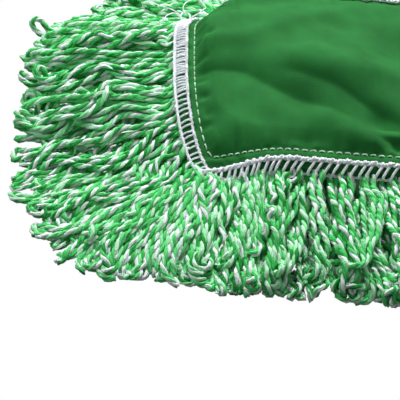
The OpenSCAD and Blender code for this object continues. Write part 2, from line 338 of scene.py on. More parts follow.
def settle(lines, rounds, diameter):
    """Let yarns fall and push one another aside, each keeping its length and its sewn ends."""
    lines, pinned = lines.copy(), lines.copy()
    fall = 0.10 * MM
    most_push = 1.2 * MM
    count, steps, _ = lines.shape
    rest = np.linalg.norm(np.diff(lines, axis=1), axis=2, keepdims=True)
    owner = np.repeat(np.arange(count), steps)
    place = np.tile(np.arange(steps), count)
    for turn in range(rounds):
        lines[:, :, 2] -= fall
        flat = lines.reshape(-1, 3)
        if turn % 2 == 0:
            a, b = near_pairs(flat, diameter * 1.25)
            far = (owner[a] != owner[b]) | (np.abs(place[a] - place[b]) > 3)
            a, b = a[far], b[far]
        gap = flat[a] - flat[b]
        dist = np.linalg.norm(gap, axis=1) + 1e-9
        push = np.clip(diameter - dist, 0, most_push)
        push = gap * (0.5 * push / dist)[:, None]
        touching = (dist < diameter).astype(float)
        shares = np.bincount(a, touching, len(flat)) + np.bincount(b, touching, len(flat))
        shares = np.maximum(shares, 1.0) ** 0.75
        for k in range(3):
            move = np.bincount(a, push[:, k], len(flat)) - np.bincount(b, push[:, k], len(flat))
            flat[:, k] += move / shares * 1.25
        lines = flat.reshape(count, steps, 3)
        for _ in range(3):
            step = np.diff(lines, axis=1)
            size = np.linalg.norm(step, axis=2, keepdims=True)
            fix = step * (0.42 * (size - rest) / size)
            lines[:, :-1] += fix
            lines[:, 1:] -= fix
        bend = lines[:, :-2] + lines[:, 2:] - 2 * lines[:, 1:-1]
        lines[:, 1:-1] += 0.05 * bend
        lines[:, :2] = pinned[:, :2]
        lines[:, -2:] = pinned[:, -2:]
        lines[:, :, 2] = np.maximum(lines[:, :, 2], LOWEST)
    return lines


def add_yarn(name, points, sides, rng):
    """Three-ply yarn, twisted to the left, along each middle line."""
    lines, steps, _ = points.shape
    _, normal, across = turning_frames(points)
    length = lengths_along(points)
    start = rng.uniform(0, 2 * math.pi, (lines, 1))
    lay = YARN_LAY * rng.uniform(0.8, 1.3, (lines, 1))
    slack = 0.35 * np.sin(length / (17 * MM) + 2.3 * start)
    verts, quads, caps, uvs, slots, cap_slots = [], [], [], [], [], []
    offset = 0
    for ply in range(3):
        angle = start + slack - 2 * math.pi * length / lay + ply * 2 * math.pi / 3
        turn = np.cos(angle)[:, :, None] * normal + np.sin(angle)[:, :, None] * across
        swell = 1 + 0.12 * np.sin(length / (6.1 * MM) + start * (ply + 1.7))
        swell += 0.07 * np.sin(length / (2.3 * MM) + start * (ply + 4.1))
        line = points + YARN_HELIX_R * turn
        v, q, c, uv = tubes(line, PLY_R * swell, sides)
        verts.append(v)
        quads.append(q + offset)
        caps += [cap + offset for cap in c]
        split = len(q) * 4
        uv[:split, 0] += 0.37 * ply
        uv[:split, 1] += np.repeat(start[:, 0], (steps - 1) * sides * 4)
        uvs.append((uv[:split], uv[split:]))
        shade = rng.choice(PLY_SHADES[ply], lines)
        slots.append(np.repeat(shade, (steps - 1) * sides))
        cap_slots.append(np.concatenate([shade, shade]))
        offset += len(v)
    mesh = quad_mesh(
        name,
        np.concatenate(verts),
        np.concatenate(quads),
        np.concatenate(slots + cap_slots),
        np.concatenate([u[0] for u in uvs] + [u[1] for u in uvs]),
        caps,
    )
    for mat in YARN:
        mesh.materials.append(mat)
    obj = new_object(name, mesh)
    return obj


# Heights along a loop of each layer and the pitch between loops, both in mm, its share of the
# fringe's reach, then the mesh: points along a loop, sides of a ply, and most loops in one piece.
Layer = namedtuple("Layer", "heights pitch reach points sides most")
LAYERS = (
    Layer((3.4, 3.6, 3.4, 3.0, 2.4, 2.2), 7.6, 1.00, 64, 4, 80),
    Layer((6.9, 7.4, 7.2, 6.4, 4.8, 2.6), 7.4, 1.03, 76, 4, 76),
    Layer((10.2, 12.4, 11.8, 10.2, 8.2, 3.6), 7.2, 1.04, 112, 5, 50),
    Layer((13.6, 17.2, 16.0, 14.0, 12.0, 6.0), 7.3, 1.03, 122, 6, 42),
    Layer((14.4, 19.5, 18.5, 16.5, 14.0, 7.0), 12.5, 1.00, 122, 6, 42),
)
HEIGHT_AT = (0.0, 0.15, 0.5, 0.8, 0.92, 1.0)
LOOP_POINTS = 76


def fringe_loop(root, out, layer, rng, reach_scale, loose):
    """The middle line of one loop: out along one leg, round the tip, back along the other."""
    heights = np.array(layer.heights) * MM
    tip_r = rng.uniform(2.1, 4.0) * MM
    reach = REACH * layer.reach * reach_scale * rng.normal(1.0, 0.032) - tip_r
    count = 44
    u = np.linspace(0, 1, count)
    level = smoothed(np.interp(u, HEIGHT_AT, heights)[:, None], 5)[:, 0]
    pitch = np.arctan2(np.gradient(level), reach / (count - 1))
    pitch += rng.normal(0, 0.05) * np.sin(math.pi * u) + rng.normal(0, 0.035) * np.sin(9 * u)
    yaw = np.full(count, math.atan2(out[1], out[0]) + rng.normal(0, 0.10) * loose)
    for waves, amount in ((1.4, 0.20), (3.0, 0.25), (5.5, 0.31)):
        size = rng.normal(0, amount) * loose
        yaw += size * np.sin(2 * math.pi * (waves * u + rng.uniform())) * np.minimum(1, u * 6)
    # most tips turn down, up or aside
    style = rng.uniform()
    end = eased((u - rng.uniform(0.80, 0.88)) / 0.16)
    if style < 0.25:
        pitch -= end * rng.uniform(0.3, 1.1)
    elif style < 0.45:
        pitch += end * rng.uniform(0.3, 1.3)
    elif style < 0.92:
        yaw += end * rng.choice([-1, 1]) * rng.uniform(0.5, 2.1)
    step = reach / (count - 1) / max(0.80, np.cos(pitch).mean())
    move = np.stack(
        [np.cos(yaw) * np.cos(pitch), np.sin(yaw) * np.cos(pitch), np.sin(pitch)], axis=1
    )
    middle = np.array([*root, heights[0]]) + step * (np.cumsum(move, axis=0) - move[0])
    twist = rng.choice([0.0, 0.5, 1.0, 1.5, 2.0], p=[0.42, 0.16, 0.2, 0.14, 0.08])
    half = np.interp(u, (0, 0.86, 1), (LEG_GAP / 2, LEG_GAP / 2, tip_r))
    spin = -math.pi * twist * np.clip(u / 0.88, 0, 1) + rng.normal(0, 0.6) * u
    aside = np.stack([-np.sin(yaw), np.cos(yaw), np.zeros(count)], axis=1)
    upward = np.cross(move, aside)
    sway = np.cos(spin)[:, None] * aside + np.sin(spin)[:, None] * upward
    leg_out = middle + half[:, None] * sway
    leg_back = middle - half[:, None] * sway
    arc = np.linspace(0, math.pi, 8)[1:-1, None]
    tip = middle[-1] + tip_r * (np.cos(arc) * sway[-1] + np.sin(arc) * 1.1 * move[-1])
    loop = np.concatenate([leg_out, tip, leg_back[::-1]])
    loop[:, 2] = np.maximum(loop[:, 2], LOWEST)
    return resampled(loop, LOOP_POINTS)


# Near a corner, the loops lean towards it, and a few fan out round it.
CORNER_R = 12 * MM
LEAN = 0.50
LEAN_SPAN = 80 * MM
FAN = 8


def roots_round(pitch, rng):
    """Where one layer of loops leaves the edge of the panel, and which way, all the way round."""
    found = []
    half_x, half_y = HALF_L - 3 * MM, HALF_W - 3 * MM
    for sx, sy in ((1, 1), (-1, 1), (-1, -1), (1, -1)):
        for side in "xy":
            half = half_x if side == "x" else half_y
            span = half - CORNER_R
            at = pitch * 0.5
            while at < span:
                near = max(0.0, 1 - (span - at) / min(LEAN_SPAN, span))
                lean = LEAN * near**1.4
                place = at + rng.uniform(-0.15, 0.15) * pitch
                less, more = math.sin(lean), math.cos(lean)
                if side == "x":
                    found.append(((sx * place, sy * half_y), (sx * less, sy * more)))
                else:
                    found.append(((sx * half_x, sy * place), (sx * more, sy * less)))
                at += pitch * (1 - 0.32 * near)
        for i in range(FAN):
            a = LEAN + (math.pi / 2 - 2 * LEAN) * (i + 0.5 + rng.uniform(-0.2, 0.2)) / FAN
            out = (sx * math.cos(a), sy * math.sin(a))
            centre = (sx * (half_x - CORNER_R), sy * (half_y - CORNER_R))
            found.append(((centre[0] + CORNER_R * out[0], centre[1] + CORNER_R * out[1]), out))
    return found


def fringe_node(line):
    """The CAD fringe that a loop belongs to, from where its tip lies."""
    x, y = line[len(line) // 2, :2]
    if abs(x) > HALF_L - 4 * MM and abs(x) - HALF_L > abs(y) - HALF_W:
        return "fringe_right" if x > 0 else "fringe_left"
    return "fringe_back" if y > 0 else "fringe_front"


# Share of the full reach on the left half, by the angle in degrees from the back to the front.
LEFT_ANGLES = (-90, -20, -5, 8, 15, 25, 38, 50, 62, 90)
LEFT_REACH = (0.94, 0.80, 0.85, 0.95, 1.03, 1.15, 1.17, 1.00, 0.89, 0.91)
EDGE_SPARE = 2.5 * MM


def combed(root, out, layer_number):
    """A loop's way out, turned a little at the ends and gathered into bundles."""
    turn = (0.14 if root[0] < 0 else -0.08) * out[0] ** 2 * eased((abs(root[0]) - 0.25) / 0.05)
    out = (
        out[0] * math.cos(turn) - out[1] * math.sin(turn),
        out[0] * math.sin(turn) + out[1] * math.cos(turn),
    )
    bundle = 0.05 * math.sin((root[0] + root[1]) / (4.3 * MM) + 1.1 * layer_number)
    bundle += 0.03 * math.sin((root[0] - root[1]) / (9.7 * MM) + 2.0 * layer_number)
    return out[0] - bundle * out[1], out[1] + bundle * out[0]


def kept_within(lines, goals):
    """Draws loops in that reach past their goal or past the fringe's outer edge."""
    roots = lines[:, :1, :2].copy()
    far = np.linalg.norm(lines[:, :, :2] - roots, axis=2).max(axis=1)
    shrink = np.minimum(1, np.array(goals) / far)
    for axis, edge in ((0, HALF_L + REACH), (1, HALF_W + REACH + 2 * MM)):
        start = np.abs(roots[:, 0, axis])
        reached = np.abs(lines[:, :, axis]).max(axis=1) - start
        shrink = np.minimum(shrink, (edge - EDGE_SPARE - start) / np.maximum(reached, 1 * MM))
    lines[:, :, :2] = roots + (lines[:, :, :2] - roots) * shrink[:, None, None]
    lines[:, :, 2] = np.maximum(lines[:, :, 2], ON_FLOOR)
    return lines


def build_fringe():
    rng = np.random.default_rng(11)
    loops, layer_of, goals = [], [], []
    for k, layer in enumerate(LAYERS):
        for root, out in roots_round(layer.pitch * MM, rng):
            out = combed(root, out, k)
            scale = 1.0 - 0.06 * min(1.0, out[1] ** 2)
            if root[0] < 0:
                angle = math.degrees(math.atan2(-out[1], -out[0]))
                scale = np.interp(angle, LEFT_ANGLES, LEFT_REACH)
            if k > 1 and rng.uniform() < 0.12:
                scale *= rng.uniform(0.72, 0.9)
            loops.append(fringe_loop(root, out, layer, rng, scale, 0.7 + 0.15 * k))
            layer_of.append(k)
            goals.append(REACH * scale)
    lines = settle(np.stack(loops), 50, YARN_D * 0.93)
    lines = kept_within(lying(lines), goals)
    nodes = np.array([fringe_node(line) for line in lines])
    for k, layer in enumerate(LAYERS):
        for name in ("fringe_left", "fringe_right", "fringe_front", "fringe_back"):
            mine = lines[(np.array(layer_of) == k) & (nodes == name)]
            parts = math.ceil(len(mine) / layer.most)
            for part in range(parts):
                share = finer(mine[part::parts], layer.points)
                piece = add_yarn(f"{name}_layer{k + 1}_{part + 1}", share, layer.sides, rng)
                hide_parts(name)


def dusting_loop(x, y, out, low, high, lean):
    """A short loop that hangs from its row at (x, y) and ends at the height low."""
    u = np.linspace(0, 1, 14)
    ys = y + out * np.sin(u * math.pi / 2)
    z = high + (low - high) * np.sin(u * math.pi / 2) ** 1.5
    half = LEG_GAP / 2
    leg = np.stack([x + lean * u - half, ys, z], axis=1)
    back = np.stack([x + lean * u + half, ys, z], axis=1)
    arc = np.linspace(math.pi, 0, 7)[1:-1]
    way = math.copysign(1, out)
    end = np.stack(
        [x + lean + half * np.cos(arc), ys[-1] + way * half * np.sin(arc) * 0.8, np.full(5, low)],
        axis=1,
    )
    loop = np.concatenate([leg, end, back[::-1]])
    loop[:, 2] = np.maximum(loop[:, 2], ON_FLOOR)
    return resampled(loop, 44)


def build_underside():
    """Short loops sewn in rows under the base cloth: the face that dusts the floor."""
    rng = np.random.default_rng(23)
    pitch = 8.6 * MM
    for name in LOOP_ROWS:
        low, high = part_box(name)
        depth = high.y - low.y
        loops = []
        for i in range(int((high.x - low.x) / pitch)):
            for level, way in enumerate((-1, 1)):
                x = low.x + (i + 0.5 + 0.5 * level) * pitch + rng.normal(0, 0.6) * MM
                out = way * (depth * rng.uniform(0.42, 0.5))
                end_z = (2.1 + 4.2 * level + rng.uniform(0, 1.0)) * MM
                lean = rng.normal(0, 2.0) * MM
                y = (low.y + high.y) / 2
                loops.append(dusting_loop(x, y, out, end_z, high.z - 2.4 * MM, lean))
        lines = lying(np.stack(loops))
        lines[:, :, 2] = np.maximum(lines[:, :, 2], ON_FLOOR)
        piece = add_yarn(f"{name}_yarn", lines, 4, rng)
        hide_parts(name)


build_fringe()
build_underside()


# -------------------- cloth and thread materials
def woven(name, color, pale, thread=0.45 * MM, bump=0.25, sheen=0.04):
    """Plain-woven cloth: crossed threads in the bump, and a colour that drifts a little."""
    mat, tree, shader = material(name, color, 0.85, **{
        "Sheen Weight": sheen, "Sheen Tint": (*pale, 1), "Specular IOR Level": 0.12,
    })
    place = node(tree, "TexCoord")
    weave = node(tree, "Math", operation="MULTIPLY")
    for k, direction in enumerate("XY"):
        wave = node(tree, "TexWave", Scale=0.16 / thread, Distortion=0.6, bands_direction=direction)
        join(tree, place, "Object", wave, "Vector")
        join(tree, wave, "Fac", weave, k)
    grain = node(tree, "TexNoise", Scale=1400.0, Detail=3.0, Roughness=0.7)
    drift = node(tree, "TexNoise", Scale=60.0, Detail=4.0, Roughness=0.6)
    for noise in (grain, drift):
        join(tree, place, "Object", noise, "Vector")
    both = node(tree, "Math", operation="ADD")
    join(tree, weave, 0, both, 0)
    join(tree, grain, "Fac", both, 1)
    add_bump(tree, shader, both, 0, bump, 0.0003)
    speck = node(tree, "Math", operation="MULTIPLY_ADD")
    speck.inputs[1].default_value = 0.45
    join(tree, grain, "Fac", speck, 0)
    join(tree, drift, "Fac", speck, 2)
    vary_color(tree, shader, speck, 0, color, 0.80, 1.22, start=0.45)
    return mat


CLOTH = woven("cloth_green", (0.0125, 0.138, 0.0255), (0.5, 0.9, 0.55), bump=0.10, sheen=0.02)
BACKING = woven("cloth_backing", (0.012, 0.125, 0.024), (0.5, 0.9, 0.55), thread=0.9 * MM, bump=0.5)
TAPE = woven("cloth_tape", (0.70, 0.70, 0.76), (1, 1, 1), thread=0.7 * MM, bump=0.5)
THREAD = yarn_material("thread_white", (0.87, 0.89, 0.96))
SEAM_THREAD = yarn_material("thread_seam", (0.62, 0.86, 0.68))

# -------------------- pockets
SEAM_END = 9.5 * MM
SEAM_SIDE = 11.0 * MM
FLANGE_Z = 17.3 * MM
SEAM_RISE = 3.0 * MM
OVER_WIRE = 24.4 * MM
WIRE_CORNER = 26 * MM
STITCH = 4.2 * MM
TRIM = 0.4 * MM
UNDER_TAPE = 1.4 * MM

# Folds in one pocket, in mm: how high (or how deep), how wide, and the line that each follows.
FOLDS = (
    (2.25, 7, ((-311, 6), (-300, 8), (-284, 9), (-270, 18), (-252, 30), (-225, 44))),
    (-2.4, 3, ((-312, 13), (-303, 14))),
    (2.25, 9, ((-268, -5), (-240, -8), (-206, -13))),
    (2.4, 9, ((-241, -46), (-218, -60))),
    (-3.3, 8, ((-214, -46), (-200, -62))),
    (-1.95, 3.2, ((-316, -27), (-305, -30))),
    (-1.95, 3, ((-315, -39), (-304, -43))),
    (-3.0, 9, ((-300, 36), (-280, 44), (-262, 52))),
    (-2.7, 12, ((-205, 12), (-180, 0), (-160, -6))),
    (2.4, 9, ((-190, 34), (-165, 22), (-130, 18))),
    (1.8, 7, ((-175, -48), (-140, -56))),
    (-1.8, 8, ((-150, 44), (-118, 40))),
)
# Creases: each rises steeply from its line to its left and runs out gently.
CREASES = (
    (6.0, 24, ((-312, -13), (-296, -13), (-284, -15), (-272, -24), (-258, -32), (-246, -37))),
    (3.6, 14, ((-252, -20), (-238, -25), (-226, -32), (-212, -40), (-200, -46))),
    (3.0, 12, ((-176, -14), (-150, -30), (-116, -38))),
    (2.4, 11, ((-150, 30), (-128, 22), (-108, 20))),
)
# Pleats that run in from the seam, in mm: their height, their spacing and where they start.
PLEATS = ((0.75, 13.0, 0.4), (0.5, 7.7, 2.1), (0.22, 4.9, 4.0))


def outside(x, y, half_x, half_y, corner):
    """Distance outside a rectangle with rounded corners; negative inside it."""
    qx, qy = np.abs(x) - half_x + corner, np.abs(y) - half_y + corner
    far = np.hypot(np.maximum(qx, 0), np.maximum(qy, 0))
    return far + np.minimum(np.maximum(qx, qy), 0) - corner


def distance_to(line, x, y):
    """From points to a line: how far, how far to its left, and how far past its ends."""
    best = np.full(x.shape, 1e9)
    left, past = np.zeros(x.shape), np.zeros(x.shape)
    last = len(line) - 2
    for k, ((ax, ay), (bx, by)) in enumerate(zip(line, line[1:])):
        dx, dy = bx - ax, by - ay
        long = math.hypot(dx, dy)
        free = ((x - ax) * dx + (y - ay) * dy) / long**2
        t = np.clip(free, 0, 1)
        away = np.hypot(x - ax - t * dx, y - ay - t * dy)
        beyond = np.zeros(x.shape)
        if k == 0:
            beyond = np.where(free < 0, -free * long, beyond)
        if k == last:
            beyond = np.where(free > 1, (free - 1) * long, beyond)
        closer = away < best
        best = np.where(closer, away, best)
        side = (dx * (y - ay) - dy * (x - ax)) / long
        left = np.where(closer, np.where(beyond > 0, side, np.sign(side) * away), left)
        past = np.where(closer, beyond, past)
    return best, left, past


def blurred(field, width):
    return smoothed(smoothed(field, width).T, width).T


class Pocket:
    """One pocket's cover: where each point of the flat cloth lies on the mop."""

    def __init__(self, side):
        self.x = np.linspace(MOUTH_X + BINDING_W - UNDER_TAPE, HALF_L - TRIM, 216)
        self.y = np.linspace(-HALF_W + TRIM, HALF_W - TRIM, 141)
        flat_x, flat_y = np.meshgrid(self.x, self.y, indexing="ij")
        flat_x = flat_x * side
        low = lying(np.stack([flat_x, flat_y, np.full_like(flat_x, FLANGE_Z)], axis=2))
        x, y, flange = low[..., 0], low[..., 1], low[..., 2]
        wire = outside(x, y, WIRE_HALF_L, WIRE_HALF_W, WIRE_CORNER)
        seam = -outside(flat_x, flat_y, HALF_L - SEAM_END, HALF_W - SEAM_SIDE, 4 * MM)
        edge = -outside(flat_x, flat_y, HALF_L, HALF_W, 2 * MM)
        flange = flange + SEAM_RISE * eased(edge / (10 * MM))
        part = np.clip(wire, 0, None) / (np.clip(wire, 0, None) + np.clip(seam, 1e-5, None))
        rise = flange + (OVER_WIRE - flange) * (1 - part) ** 1.1
        crown = OVER_WIRE + 3.4 * MM * (1 - np.exp(np.clip(wire, None, 0) / (20 * MM)))
        z = np.where(wire > 0, rise, crown)
        z = np.where(seam <= 0, flange, z)
        soft = blurred(z, 7)
        z = z + (soft - z) * eased((seam - 0.5 * MM) / (4 * MM))
        # the folds are given for the left pocket, and the right one has them turned half round
        place = (-side * x / MM, -side * y / MM)
        folds = np.zeros_like(z)
        for height, width, line in FOLDS:
            away, _, _ = distance_to(line, *place)
            folds += height * MM * np.exp(-((away / width) ** 2))
        for height, width, line in CREASES:
            _, above, beyond = distance_to(line, *place)
            t = np.logaddexp(0, 3 * above) / 3 / width
            folds += height * MM * t * np.exp(1 - t) * np.exp(-((beyond / (0.8 * width)) ** 2))
        rng = np.random.default_rng(5 if side < 0 else 6)
        rough = blurred(rng.normal(0, 1, z.shape), 24)
        folds += 0.45 * MM * rough / rough.std()
        z += folds * eased(seam / (6 * MM)) * (0.25 + 0.75 * eased((np.abs(x) - MOUTH_X) / 0.03))
        run = np.where(np.abs(flat_x) > HALF_L - 16 * MM, flat_y, flat_x) / MM
        inner = np.exp(-np.clip(seam, 0, None) / (7 * MM)) * eased(seam / (1.5 * MM))
        outer = 0.55 * (seam < 0) * eased(-seam / (3 * MM)) * eased((9 * MM + seam) / (4 * MM))
        for height, spacing, start in PLEATS:
            pleat = np.sin(2 * math.pi * run / spacing + start + 0.7 * np.sin(run / 9))
            z += height * MM * pleat * (inner + outer)
        z -= 0.55 * MM * np.exp(-((seam / (1.3 * MM)) ** 2))
        # the cloth rests on the wire and stays over the base cloth
        floor = blurred(np.where(np.abs(wire + 2.5 * MM) < 3.5 * MM, 24.1 * MM, 18.6 * MM), 4)
        inside = wire < 2 * MM
        z = np.where(inside, floor + 0.5 * MM * np.logaddexp(0, (z - floor) / (0.5 * MM)), z)
        self.points = np.stack([x, y, z], axis=2)

    def at(self, x, y, lift=0.0):
        """Points on the cover from flat places, lifted along Z."""
        i = np.clip((np.abs(x) - self.x[0]) / (self.x[1] - self.x[0]), 0, len(self.x) - 1.001)
        j = np.clip((y - self.y[0]) / (self.y[1] - self.y[0]), 0, len(self.y) - 1.001)
        a, b = i.astype(int), j.astype(int)
        u, v = (i - a)[..., None], (j - b)[..., None]
        p = self.points
        out = (p[a, b] * (1 - u) + p[a + 1, b] * u) * (1 - v)
        out = out + (p[a, b + 1] * (1 - u) + p[a + 1, b + 1] * u) * v
        out[..., 2] += lift
        return out


def grid_piece(name, points, mat, thickness, offset=-1.0):
    """A cloth sheet from a grid of points, given its thickness."""
    rows, columns, _ = points.shape
    index = np.arange(rows * columns).reshape(rows, columns)
    quads = np.stack([index[:-1, :-1], index[1:, :-1], index[1:, 1:], index[:-1, 1:]], axis=-1)
    quads = quads.reshape(-1, 4)
    a, b, c = (points.reshape(-1, 3)[quads[len(quads) // 2, k]] for k in range(3))
    if np.cross(b - a, c - a)[2] < 0:
        quads = quads[:, ::-1]
    mesh = quad_mesh(name, points.reshape(-1, 3), quads)
    mesh.materials.append(mat)
    obj = new_object(name, mesh)
    solid = obj.modifiers.new("thickness", "SOLIDIFY")
    solid.thickness = thickness
    solid.offset = offset
    return obj


def strands(name, lines, radius, sides, mat, body=HEAD):
    """One mesh of round threads along lines of points, shaped (lines, points, 3)."""
    verts, quads, caps, uvs = tubes(lines, radius, sides)
    mesh = quad_mesh(name, verts, quads, None, uvs, caps)
    mesh.materials.append(mat)
    obj = new_object(name, mesh, body)
    return obj


def dashes(starts, ends, lift):
    """Sewn stitches: short threads that dip into the cloth at both ends."""
    t = np.array([0, 0.12, 0.3, 0.5, 0.7, 0.88, 1])[None, :, None]
    lines = starts[:, None] * (1 - t) + ends[:, None] * t
    lines[:, :, 2] += np.array([-0.35, 0.1, 0.3, 0.34, 0.3, 0.1, -0.35]) * MM + lift
    return lines


def seam_places(side):
    """Flat places along a pocket's seam, from its mouth round its end and back."""
    x0, x1 = MOUTH_X + BINDING_W + 2 * MM, HALF_L - SEAM_END
    y1, r = HALF_W - SEAM_SIDE, 3 * MM
    turn = np.linspace(0, math.pi / 2, 14)
    near = [(x0, -y1), (x1 - r, -y1)]
    near += [(x1 - r + r * math.sin(a), -y1 + r - r * math.cos(a)) for a in turn[1:]]
    path = np.array(near + [(x, -y) for x, y in near[::-1]])
    line = np.column_stack([path * (side, 1), np.zeros(len(path))])
    length = lengths_along(line[None])[0, -1]
    return resampled(line, int(length / STITCH) * 20 + 1)


def build_pockets():
    made = {}
    for side, name in ((-1, "left"), (1, "right")):
        pocket = Pocket(side)
        made[side] = pocket
        cover = grid_piece(f"pocket_{name}_cloth", pocket.points, CLOTH, 0.9 * MM)
        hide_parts(f"pocket_cover_{name}")
        places = seam_places(side)
        line = pocket.at(places[:, 0], places[:, 1])
        starts, ends = line[2:-18:20], line[15:-5:20]
        count = min(len(starts), len(ends))
        sewn = dashes(starts[:count], ends[:count], 0.28 * MM)
        strands(f"pocket_{name}_seam", sewn, 0.33 * MM, 6, SEAM_THREAD)
    return made


pockets = build_pockets()


def build_base():
    half_x, half_y = HALF_L - 0.3 * MM, HALF_W - 0.3 * MM
    x, y = np.linspace(-half_x, half_x, 211), np.linspace(-half_y, half_y, 57)
    gx, gy = np.meshgrid(x, y, indexing="ij")
    rng = np.random.default_rng(4)
    rough = blurred(rng.normal(0, 1, gx.shape), 10)
    z = BASE_TOP - 0.15 * MM + 0.10 * MM * np.clip(rough / rough.std(), -1.5, 1.5)
    cloth = grid_piece("base_backing", lying(np.stack([gx, gy, z], axis=2)), BACKING, 1.5 * MM)
    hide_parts("base_cloth")
    # two lines of stitches hold each row of loops
    lines = []
    at = np.arange(-HALF_L + 14 * MM, HALF_L - 14 * MM, 4.6 * MM)
    for name in LOOP_ROWS:
        low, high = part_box(name)
        for inset in (-3 * MM, 3 * MM):
            start = np.stack([at, 0 * at + (low.y + high.y) / 2 + inset, 0 * at + BASE_TOP], axis=1)
            end = start + np.array([3.4 * MM, 0, 0])
            lines.append(dashes(lying(start), lying(end), -0.05 * MM))
    strands("base_stitches", np.concatenate(lines), 0.33 * MM, 5, SEAM_THREAD)


build_base()


# Section of a mouth's tape, in mm: how far in from the mouth, and how far above the cloth.
TAPE_SECTION = (
    (9.0, -1.6), (5.0, -1.6), (1.4, -1.5), (0.5, -0.9), (0.2, 0.0), (0.5, 0.8),
    (1.4, 1.15), (4.0, 1.2), (7.0, 1.2), (9.4, 1.15), (10.2, 0.75),
)


def build_bindings():
    for side, name in ((-1, "left"), (1, "right")):
        pocket = pockets[side]
        edge = pocket.at(np.full(141, MOUTH_X + BINDING_W), pocket.y)
        rows = []
        for inset, up in TAPE_SECTION:
            row = edge.copy()
            row[:, 0] = side * (MOUTH_X + inset * MM)
            row[:, 2] += up * MM
            rows.append(row)
        tape = grid_piece(f"mouth_tape_{name}", np.stack(rows), TAPE, 0.5 * MM, offset=0.0)
        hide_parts(f"mouth_binding_{name}")
        at = np.arange(-HALF_W + 3 * MM, HALF_W - 6 * MM, STITCH)
        place = np.full(len(at), MOUTH_X + BINDING_W)
        stitched = []
        for inset in (8.4, 2.6):
            start = pocket.at(place, at, 1.5 * MM)
            end = pocket.at(place, at + 3.1 * MM, 1.5 * MM)
            start[:, 0] = end[:, 0] = side * (MOUTH_X + inset * MM)
            stitched.append(dashes(start, end, 0.1 * MM))
        strands(f"mouth_stitches_{name}", np.concatenate(stitched), 0.34 * MM, 5, SEAM_THREAD)


build_bindings()


# -------------------- the overlocked edge
def edge_point(side, run, inset, z):
    """A place by the panel's edge: how far along it, how far in from it, and how high."""
    run, inset, z = np.broadcast_arrays(run, inset, z)
    way = -1 if side in ("front", "left") else 1
    if side in ("front", "back"):
        return np.stack([run, way * (HALF_W - inset), z], axis=-1)
    return np.stack([way * (HALF_L - inset), run, z], axis=-1)


def pocket_lift(points):
    """Raises thread that lies on the panel's top to the cloth below it, pleats and all."""
    points = points.copy()
    x, y = points[..., 0], points[..., 1]
    plain = lying(np.stack([x, y, np.full_like(x, FLANGE_Z)], axis=-1))[..., 2]
    for side, pocket in pockets.items():
        near = (x * side > pocket.x[0]) & (points[..., 2] > FLANGE_Z)
        cloth = pocket.at(x, np.clip(y, pocket.y[0], pocket.y[-1]))[..., 2]
        points[..., 2] += np.where(near, cloth - plain, 0)
    return points


def two_ply(line, helix, lay):
    """Two threads twisted round a line."""
    pts = line[None]
    _, normal, across = turning_frames(pts)
    both = []
    for start in (0, math.pi):
        angle = start - 2 * math.pi * lengths_along(pts)[0] / lay
        turn = np.cos(angle)[:, None] * normal[0] + np.sin(angle)[:, None] * across[0]
        both.append(line + helix * turn)
    return np.stack(both)


# The overlock on the long edges and on the ends, in mm: how deep its bars are, their pitch and
# radius, how bold the inner chain is, and the outer chain's height, radius and lay.
Overlock = namedtuple("Overlock", "deep pitch bar_r bold outer_z outer_r lay")
LONG_EDGE = Overlock(4.6, 4.2, 0.74, 1.75, 14.6, 0.40, 4.0)
END_EDGE = Overlock(5.3, 2.1, 0.54, 1.15, 17.9, 0.48, 3.0)
BAR_HEIGHTS = (17.9, 18.5, 18.6, 18.1, 16.9, 15.2, 13.9, 13.5)
BAR_SLANTS = (1, 1, 1, 1, 1, 0.9, 0.7, 0.3)
ON_TOP = 4  # the first points of a bar, which lie on the cloth


def build_overlock():
    """Bars of thread over every edge, with a twisted chain along each end of the bars."""
    rng = np.random.default_rng(31)
    for side in ("front", "back", "left", "right"):
        long = side in ("front", "back")
        sewn = LONG_EDGE if long else END_EDGE
        end = (HALF_L if long else HALF_W) + 0.5 * MM
        pitch = sewn.pitch * MM
        run = -end + (np.arange(int(2 * end / pitch)) + 0.5) * pitch
        if long:
            slant = 6 * MM - 4 * MM * np.sign(run) * eased((np.abs(run) - 0.255) / 0.06)
        else:
            # towards the front, the bars are further apart
            spread = -24 * MM
            run = np.where(run < spread, spread + (run - spread) * 1.25, run)
            run = run[run > -end]
            slant = (0.6 + 2.2 * eased(-run / (45 * MM))) * MM
        run = run + rng.normal(0, 0.12, len(run)) * pitch
        insets = np.array([sewn.deep, sewn.deep * 0.75, sewn.deep * 0.4, 0.6, -0.6, -0.9, -0.3, 2.5])
        shift = np.linspace(0, 1, 8) * BAR_SLANTS * slant[:, None]
        bars = edge_point(side, run[:, None] - shift, insets * MM, np.array(BAR_HEIGHTS) * MM)
        on_cloth = lying(pocket_lift(bars))[:, :ON_TOP, 2]
        bars[:, :, 2] += rng.normal(0, 0.06, (len(bars), 1)) * MM
        bars = lying(bars)
        bars[:, :ON_TOP, 2] = on_cloth
        piece = strands(f"overlock_{side}_bars", finer(bars, 15), sewn.bar_r * MM, 6, THREAD)
        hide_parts(f"overlock_{side}")
        places = np.linspace(-end, end, int(2 * (end - 0.5 * MM) / (0.55 * MM)))
        wave = 0.35 * MM * np.sin(2 * math.pi * places / pitch)
        inner = edge_point(side, places, sewn.deep * MM + wave, 18.8 * MM)
        outer = edge_point(side, places, -0.9 * MM + wave * 0.5, sewn.outer_z * MM)
        for name, line, helix, radius in (
            ("inner", inner, 0.36 * sewn.bold, 0.42 * sewn.bold),
            ("outer", outer, 0.36, sewn.outer_r),
        ):
            height = lying(pocket_lift(line))[:, 2]
            line = lying(line)
            line[:, 2] = height
            chain = two_ply(line, helix * MM, sewn.lay * MM)
            strands(f"overlock_{side}_{name}", chain, radius * MM, 6, THREAD)


build_overlock()


